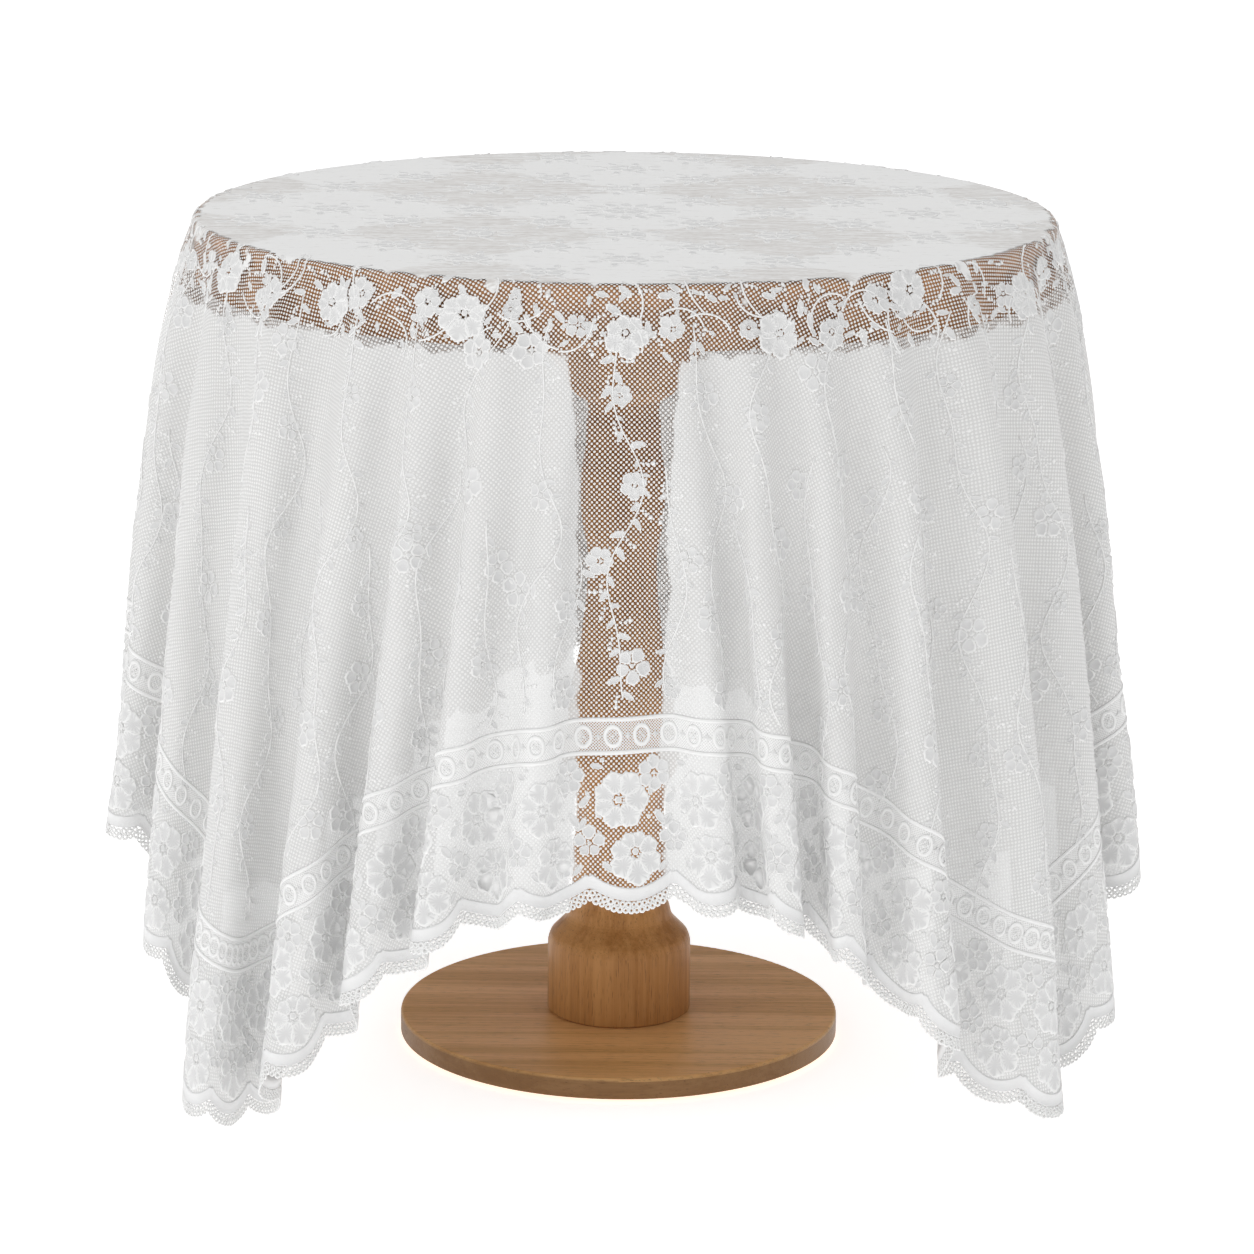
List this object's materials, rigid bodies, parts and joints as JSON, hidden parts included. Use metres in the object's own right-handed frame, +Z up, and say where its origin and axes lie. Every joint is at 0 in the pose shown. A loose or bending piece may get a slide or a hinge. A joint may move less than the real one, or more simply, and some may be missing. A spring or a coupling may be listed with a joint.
{
  "type": "lace tablecloth on pedestal table",
  "caption": "Square white lace cloth with a scalloped satin hem, draped over a round oak top on a turned column and a disc base.",
  "frame": {"origin": "centre of the table's footprint, on the floor", "axes": "+Z up, +X to the right, -Y towards the front"},
  "size_m": [0.9244, 0.9244, 0.7649],
  "materials": {
    "oak": "oiled oak, open grain, satin",
    "oak_edge": "oiled oak edge with glued joints",
    "beech": "bare beech",
    "steel": "zinc-plated steel",
    "weight_steel": "black powder coat",
    "pad_nylon": "matt nylon",
    "lace_net": "white polyester net with embroidery, sheer",
    "lace_relief": "raised white embroidery and cord",
    "satin_tape": "white satin-stitch tape"
  },
  "bodies": {
    "table": {"top_panel": "oak", "edge_ring": "oak_edge", "cleat_lower": "beech", "cleat_upper": "beech", "cleat_screws": "steel", "column_foot": "oak", "column_shaft": "oak", "column_capital": "oak", "foot_dowels": "beech", "capital_dowels": "beech", "tie_rod": "steel", "upper_washer": "steel", "upper_nut": "steel", "lower_washer": "steel", "lower_nut": "steel", "base_disc": "oak", "weight_plate": "weight_steel", "weight_screws": "steel", "glide_inserts": "steel"},
    "glide_1": {"glide_stem_1": "steel", "glide_pad_1": "pad_nylon"},
    "glide_2": {"glide_stem_2": "steel", "glide_pad_2": "pad_nylon"},
    "glide_3": {"glide_stem_3": "steel", "glide_pad_3": "pad_nylon"},
    "glide_4": {"glide_stem_4": "steel", "glide_pad_4": "pad_nylon"},
    "cloth": {"lace_field": "lace_net", "insertion_band": "lace_relief", "border_flounce": "lace_net", "hem_tape": "satin_tape", "picot_edging": "lace_relief"}
  },
  "joints": [
    {"name": "glide_1_screw", "type": "slide", "parent": "table", "child": "glide_1", "axis": [0, 0, -1], "range_m": [0, 0.006]},
    {"name": "glide_2_screw", "type": "slide", "parent": "table", "child": "glide_2", "axis": [0, 0, -1], "range_m": [0, 0.006]},
    {"name": "glide_3_screw", "type": "slide", "parent": "table", "child": "glide_3", "axis": [0, 0, -1], "range_m": [0, 0.006]},
    {"name": "glide_4_screw", "type": "slide", "parent": "table", "child": "glide_4", "axis": [0, 0, -1], "range_m": [0, 0.006]},
    {"name": "cloth_lift", "type": "slide", "parent": "table", "child": "cloth", "axis": [0, 0, 1], "range_m": [0, 0.8]}
  ]
}
